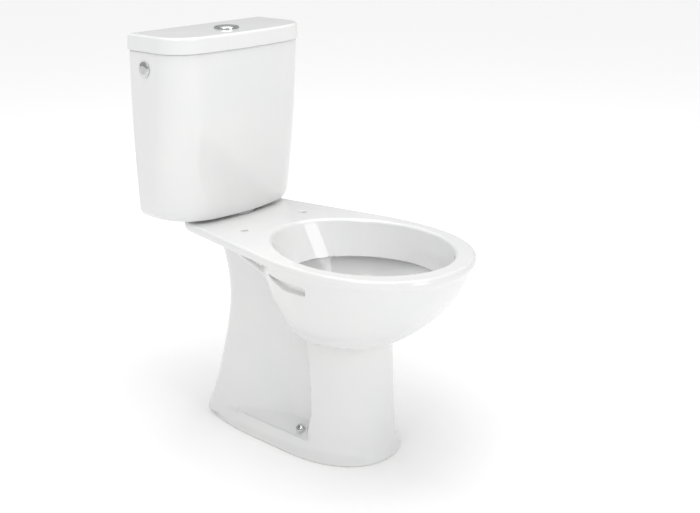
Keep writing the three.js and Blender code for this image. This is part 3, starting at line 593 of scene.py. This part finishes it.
def make_button(name, side):
    """One part of the round button: a shallow dish with a rounded edge, cut along the slot."""
    radius, low, top = BUTTON["radius"], BUTTON["bottom"], BUTTON["top"]
    profile = [(0.01, low), (radius, low), (radius, top - 2.6)]
    profile += arc((radius - 1.6, top - 2.6), 1.6, 0, 80, 7)[1:]
    profile += [(radius - 2.6, top - 1.05), (radius * 0.72, top - 1.5)]
    profile += [(radius * 0.4, top - 1.8), (0.01, top - 1.9)]
    piece = turned_piece(name, profile, (0, 0, 0), segments=128)
    shape = bmesh.new()
    shape.from_mesh(piece.data)
    edge = (SPLIT + side * SLOT_HALF) * MM
    geometry = shape.verts[:] + shape.edges[:] + shape.faces[:]
    cut = bmesh.ops.bisect_plane(
        shape, geom=geometry, plane_co=(edge, 0, 0), plane_no=(side, 0, 0), clear_inner=True
    )
    edges = [item for item in cut["geom_cut"] if isinstance(item, bmesh.types.BMEdge)]
    bmesh.ops.contextual_create(shape, geom=edges)
    shape.to_mesh(piece.data)
    shape.free()
    piece.data.transform(Matrix.Translation(button_axis))
    bevel = piece.modifiers.new("edge", "BEVEL")
    bevel.width = 0.0004
    bevel.segments = 3
    bevel.limit_method = "ANGLE"
    bevel.angle_limit = math.radians(50)
    apply_modifiers(piece)
    smooth(piece, 40)
    return piece


def make_spring(name, offset):
    """Return spring round a button's rod: a round wire that closes up at both ends."""
    low, high, radius, wire, turns = 731.9, 746.2, 4.6, 0.6, 4.5
    steps, around = 180, 12
    rings = []
    for step in range(steps + 1):
        t = step / steps
        angle = 2 * math.pi * turns * t
        eased = t + 0.09 * math.sin(4 * math.pi * t - math.pi) * 0.5
        outward = Vector((math.cos(angle), math.sin(angle), 0))
        centre = Vector((offset, 0, low + (high - low) * eased)) + radius * outward
        ring = []
        for i in range(around):
            turn = 2 * math.pi * i / around
            upward = Vector((0, 0, wire * math.sin(turn)))
            ring.append((centre + outward * wire * math.cos(turn) + upward) * MM)
        rings.append([point + button_axis for point in ring])
    piece = ring_piece(name, rings, False)
    smooth(piece, 50)
    return piece


def make_plug():
    """Domed chrome cap that blanks the unused inlet hole."""
    low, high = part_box("side_hole_plug")
    foot = -low.x / MM - 4
    profile = [(0.01, foot - 24), (7.4, foot - 24), (7.5, foot - 0.2), (13.6, foot), (14, foot + 0.4)]
    profile += [(14, foot + 0.9)] + arc((13.2, foot + 0.9), 0.8, 20, 75, 4)
    profile += [(12.2, foot + 2.2), (10.5, foot + 3), (7.5, foot + 3.6), (4, foot + 3.9), (0.01, foot + 4)]
    turn = Matrix(((0, 0, -1), (0, 1, 0), (1, 0, 0)))
    at = (0, (low.y + high.y) / 2, (low.z + high.z) / 2)
    return turned_piece("plug_cap", profile, at, turn)


def make_screw(name, side):
    """Pan head screw on a sloping ledge, with a hexagon socket."""
    slope = math.atan(LEDGE["slope"])
    height = FOOT_LIP + (LEDGE["outer"] - FLOOR_SCREW["side"]) * LEDGE["slope"]
    at = Vector((side * FLOOR_SCREW["side"], DEPTH / 2 - FLOOR_SCREW["wall"], height)) * MM
    turn = Matrix.Rotation(side * slope, 3, "Y")
    profile = [(0.01, -50), (0.8, -47.5)]
    for thread in range(14):
        z = -46 + thread * 2.6
        profile += [(2.1, z), (2.9, z + 0.9), (2.9, z + 1.2), (2.1, z + 2)]
    profile += [(2.7, -8), (2.7, 2.6), (8.2, 2.6), (8.5, 2.9), (8.5, 4)]
    profile += [(8.3, 4.9), (7.6, 6), (6.4, 7), (4.8, 7.8), (3.4, 8.1), (2.6, 8.2), (0.01, 8.2)]
    piece = turned_piece(name, profile, (0, 0, 0), segments=64)
    socket = turned_piece("socket", [(2.4, 5.2), (2.4, 9)], (0, 0, 0), segments=6)
    boolean = piece.modifiers.new("socket", "BOOLEAN")
    boolean.operation = "DIFFERENCE"
    boolean.object = socket
    apply_modifiers(piece)
    bpy.data.objects.remove(socket)
    piece.data.transform(Matrix.Translation(at) @ turn.to_4x4())
    smooth(piece, 40)
    return piece


# ---------------------------------------------------------------- materials
def new_material(name, colour, roughness, metallic=0.0):
    material = bpy.data.materials.new(name)
    material.use_nodes = True
    shader = material.node_tree.nodes["Principled BSDF"]
    shader.inputs["Base Color"].default_value = (*colour, 1)
    shader.inputs["Roughness"].default_value = roughness
    shader.inputs["Metallic"].default_value = metallic
    return material, shader


def noise(tree, scale, detail=2.0, stretch=(1, 1, 1)):
    """Noise in the object's own coordinates; scale is in cycles per metre."""
    place = tree.nodes.new("ShaderNodeTexCoord")
    mapping = tree.nodes.new("ShaderNodeMapping")
    mapping.inputs["Scale"].default_value = stretch
    texture = tree.nodes.new("ShaderNodeTexNoise")
    texture.inputs["Scale"].default_value = scale
    texture.inputs["Detail"].default_value = detail
    tree.links.new(place.outputs["Object"], mapping.inputs["Vector"])
    tree.links.new(mapping.outputs["Vector"], texture.inputs["Vector"])
    return texture.outputs["Fac"]


def ramp(tree, source, low, high, start=0.3, end=0.7):
    """Colours or greys between two ends of a factor."""
    node = tree.nodes.new("ShaderNodeValToRGB")
    node.color_ramp.elements[0].position = start
    node.color_ramp.elements[1].position = end
    node.color_ramp.elements[0].color = low
    node.color_ramp.elements[1].color = high
    tree.links.new(source, node.inputs["Fac"])
    return node.outputs["Color"]


def grey(value):
    return (value, value, value, 1)


def bump(tree, source, height, before=None, strength=1.0):
    node = tree.nodes.new("ShaderNodeBump")
    node.inputs["Distance"].default_value = height
    node.inputs["Strength"].default_value = strength
    tree.links.new(source, node.inputs["Height"])
    if before is not None:
        tree.links.new(before, node.inputs["Normal"])
    return node.outputs["Normal"]


def finish_with(tree, shader, colour=None, roughness=None, normal=None):
    for output, socket in ((colour, "Base Color"), (roughness, "Roughness"), (normal, "Normal")):
        if output is not None:
            tree.links.new(output, shader.inputs[socket])


def ceramic_material():
    """White glaze: slow waviness, fine orange peel, a few pin holes, bare clay under the foot."""
    material, shader = new_material("glazed_ceramic", (0.86, 0.86, 0.85), 0.07)
    shader.inputs["IOR"].default_value = 1.52
    shader.inputs["Coat Weight"].default_value = 0.35
    shader.inputs["Coat Roughness"].default_value = 0.03
    tree = material.node_tree
    tone = ramp(tree, noise(tree, 9, 3), (0.775, 0.78, 0.782, 1), (0.805, 0.805, 0.798, 1))
    specks = ramp(tree, noise(tree, 900, 1), grey(0.0), grey(1.0), 0.2, 0.26)
    glaze = tree.nodes.new("ShaderNodeMix")
    glaze.data_type = "RGBA"
    glaze.inputs["A"].default_value = (0.7, 0.69, 0.66, 1)
    tree.links.new(specks, glaze.inputs["Factor"])
    tree.links.new(tone, glaze.inputs["B"])
    place = tree.nodes.new("ShaderNodeTexCoord")
    split = tree.nodes.new("ShaderNodeSeparateXYZ")
    tree.links.new(place.outputs["Object"], split.inputs["Vector"])
    bare = tree.nodes.new("ShaderNodeMapRange")
    bare.inputs["From Min"].default_value = 0.0016
    bare.inputs["From Max"].default_value = 0.0004
    tree.links.new(split.outputs["Z"], bare.inputs["Value"])
    clay = tree.nodes.new("ShaderNodeMix")
    clay.data_type = "RGBA"
    clay.inputs["B"].default_value = (0.68, 0.64, 0.58, 1)
    tree.links.new(bare.outputs["Result"], clay.inputs["Factor"])
    tree.links.new(glaze.outputs["Result"], clay.inputs["A"])
    sheen = ramp(tree, noise(tree, 25, 4), grey(0.05), grey(0.1))
    rough = tree.nodes.new("ShaderNodeMix")
    rough.data_type = "RGBA"
    rough.inputs["B"].default_value = grey(0.8)
    tree.links.new(bare.outputs["Result"], rough.inputs["Factor"])
    tree.links.new(sheen, rough.inputs["A"])
    waves = bump(tree, noise(tree, 14, 1), 0.0016, strength=0.35)
    peel = bump(tree, noise(tree, 320, 2), 0.00004, waves, 0.5)
    finish_with(tree, shader, clay.outputs["Result"], rough.outputs["Result"], peel)
    return material


def chrome_material():
    material, shader = new_material("chrome", (0.6, 0.61, 0.62), 0.06, 1.0)
    tree = material.node_tree
    tone = ramp(tree, noise(tree, 120, 4), (0.5, 0.51, 0.52, 1), (0.66, 0.665, 0.67, 1))
    rough = ramp(tree, noise(tree, 260, 5), grey(0.035), grey(0.13))
    hairlines = bump(tree, noise(tree, 500, 2, (1, 14, 1)), 0.00001, strength=0.25)
    finish_with(tree, shader, tone, rough, hairlines)
    return material


def plastic_material(name, colour, roughness, grain):
    material, shader = new_material(name, colour, roughness)
    shader.inputs["Subsurface Weight"].default_value = 0.04
    tree = material.node_tree
    darker = tuple(0.92 * channel for channel in colour)
    tone = ramp(tree, noise(tree, 45, 4), (*darker, 1), (*colour, 1))
    rough = ramp(tree, noise(tree, 180, 4), grey(roughness * 0.8), grey(min(1, roughness * 1.25)))
    moulded = bump(tree, noise(tree, 1500, 3), grain, strength=0.5)
    flow = bump(tree, noise(tree, 40, 1), 0.0002, moulded, 0.3)
    finish_with(tree, shader, tone, rough, flow)
    return material


def rubber_material(name, dark, pale):
    material, shader = new_material(name, (dark, dark, dark), 0.7)
    shader.inputs["Sheen Weight"].default_value = 0.15
    tree = material.node_tree
    dust = ramp(tree, noise(tree, 60, 6), grey(dark), grey(pale), 0.35, 0.8)
    rough = ramp(tree, noise(tree, 220, 4), grey(0.6), grey(0.85))
    skin = bump(tree, noise(tree, 2200, 4), 0.00006, strength=0.6)
    finish_with(tree, shader, dust, rough, skin)
    return material


def metal_material(name, bright, dull, roughness, stretch):
    material, shader = new_material(name, bright, roughness, 1.0)
    tree = material.node_tree
    tone = ramp(tree, noise(tree, 70, 6), (*dull, 1), (*bright, 1), 0.25, 0.65)
    rough = ramp(tree, noise(tree, 300, 4, stretch), grey(roughness * 0.7), grey(roughness * 1.4))
    marks = bump(tree, noise(tree, 900, 3, stretch), 0.00003, strength=0.5)
    finish_with(tree, shader, tone, rough, marks)
    return material


CERAMIC = ceramic_material()
CHROME = chrome_material()
FINISHES = {
    "ceramic": CERAMIC,
    "chrome": CHROME,
    "white_plastic": plastic_material("white_plastic", (0.8, 0.8, 0.78), 0.32, 0.00002),
    "blue_plastic": plastic_material("blue_plastic", (0.06, 0.2, 0.46), 0.42, 0.00004),
    "grey_plastic": plastic_material("grey_plastic", (0.33, 0.34, 0.35), 0.45, 0.00004),
    "black_rubber": rubber_material("black_rubber", 0.012, 0.035),
    "grey_rubber": rubber_material("grey_rubber", 0.4, 0.48),
    "steel": metal_material("steel", (0.56, 0.57, 0.58), (0.44, 0.45, 0.46), 0.24, (1, 1, 12)),
    "brass": metal_material("brass", (0.68, 0.48, 0.2), (0.42, 0.27, 0.12), 0.3, (1, 1, 8)),
}
slot_of = {part["node"]: part["material_slot"] for part in frame["record"]["subparts"]}


def paint(piece, slot):
    piece.data.materials.clear()
    piece.data.materials.append(FINISHES[slot])


def add(piece, body, slot, *nodes):
    """Finishes a new piece, puts it on its body, and lets it stand for CAD nodes."""
    paint(piece, slot)
    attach(piece, body)
    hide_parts(*nodes)
    return piece


# ---------------------------------------------------------------- the object
for node_name, node in frame["nodes"].items():
    paint(node, slot_of[node_name])
    smooth(node)

pan_low, pan_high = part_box("pan")
margin = 12
add(
    field_piece(
        "pan_body", pan_field, [c / MM - margin for c in pan_low], [c / MM + margin for c in pan_high],
        PAN_STEP, PAN_TRIANGLES,
    ),
    "base", "ceramic", "pan",
)
add(make_tank(), "base", "ceramic", "cistern_tank")
add(make_lid(), "lid", "ceramic", "cistern_lid")
add(make_bezel(), "lid", "chrome", "button_bezel")
add(make_button("full_button_cap", 1), "full_button", "chrome", "full_flush_button")
add(make_button("half_button_cap", -1), "half_button", "chrome", "half_flush_button")
add(make_plug(), "base", "chrome", "side_hole_plug")
add(make_screw("screw_left", -1), "base", "chrome", "floor_screw_left")
add(make_screw("screw_right", 1), "base", "chrome", "floor_screw_right")
for which, offset in (("full", 10), ("half", -10)):
    spring = add(make_spring(f"{which}_spring_wire", offset), "lid", "steel", f"{which}_button_spring")
    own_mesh(spring)


# ---------------------------------------------------------------- floor, light and camera
bpy.ops.mesh.primitive_plane_add(size=80, location=(0, 0, -0.0005))
floor = bpy.context.object
floor.name = "floor"
# Painted shade and glow: the floor glows, with emission 0.16 within 0.25 m of the middle rising to 0.5
# beyond 1.4 m, so the ground round the toilet's foot is darker and lights its undersides less.
floor_material, floor_shader = new_material("glowing_floor_dim_near_toilet", (0.82, 0.82, 0.82), 0.8)
floor_tree = floor_material.node_tree
floor_place = floor_tree.nodes.new("ShaderNodeTexCoord")
floor_length = floor_tree.nodes.new("ShaderNodeVectorMath")
floor_length.operation = "LENGTH"
floor_tree.links.new(floor_place.outputs["Object"], floor_length.inputs[0])
floor_glow_dim_near_toilet = floor_tree.nodes.new("ShaderNodeMapRange")
for socket, value in (("From Min", 0.25), ("From Max", 1.4), ("To Min", 0.16), ("To Max", 0.5)):
    floor_glow_dim_near_toilet.inputs[socket].default_value = value
floor_tree.links.new(floor_length.outputs["Value"], floor_glow_dim_near_toilet.inputs["Value"])
floor_tree.links.new(floor_glow_dim_near_toilet.outputs["Result"], floor_shader.inputs["Emission Strength"])
floor_shader.inputs["Emission Color"].default_value = (1, 1, 1, 1)
floor.data.materials.append(floor_material)

world = bpy.data.worlds.new("studio")
bpy.context.scene.world = world
world.use_nodes = True
sky = world.node_tree.nodes["Background"]
sky.inputs["Color"].default_value = (1, 1, 1, 1)
sky.inputs["Strength"].default_value = 0.5


def area_light(name, at, target, size, power):
    data = bpy.data.lights.new(name, "AREA")
    data.shape = "RECTANGLE"
    data.size, data.size_y = size
    data.energy = power
    light = bpy.data.objects.new(name, data)
    light.location = at
    light.rotation_euler = (Vector(target) - Vector(at)).to_track_quat("-Z", "Y").to_euler()
    bpy.context.scene.collection.objects.link(light)


area_light("key", (-1.7, -0.4, 2.2), (0, 0.1, 0.45), (0.7, 1.6), 10)
area_light("front", (-0.2, -2.6, 1.5), (0, 0, 0.5), (1.1, 1.4), 14)
area_light("top", (0, 0, 2.6), (0, 0, 0), (2.2, 2.2), 36)

CAMERA_AT = Vector((-1.3802, -1.3095, 1.0149))
forward = Vector((0.7046, 0.6295, -0.327)).normalized()
level_right = forward.cross(Vector((0, 0, 1))).normalized()
level_up = level_right.cross(forward)
roll = math.radians(-0.357)
right = level_right * math.cos(roll) + level_up * math.sin(roll)
up = level_up * math.cos(roll) - level_right * math.sin(roll)
camera_data = bpy.data.cameras.new("camera")
camera_data.lens = 56.3
camera_data.sensor_width = 36
camera = bpy.data.objects.new("camera", camera_data)
camera.matrix_world = Matrix.Translation(CAMERA_AT) @ Matrix((right, up, -forward)).transposed().to_4x4()
bpy.context.scene.collection.objects.link(camera)
bpy.context.scene.camera = camera
bpy.context.scene.view_settings.view_transform = "Standard"
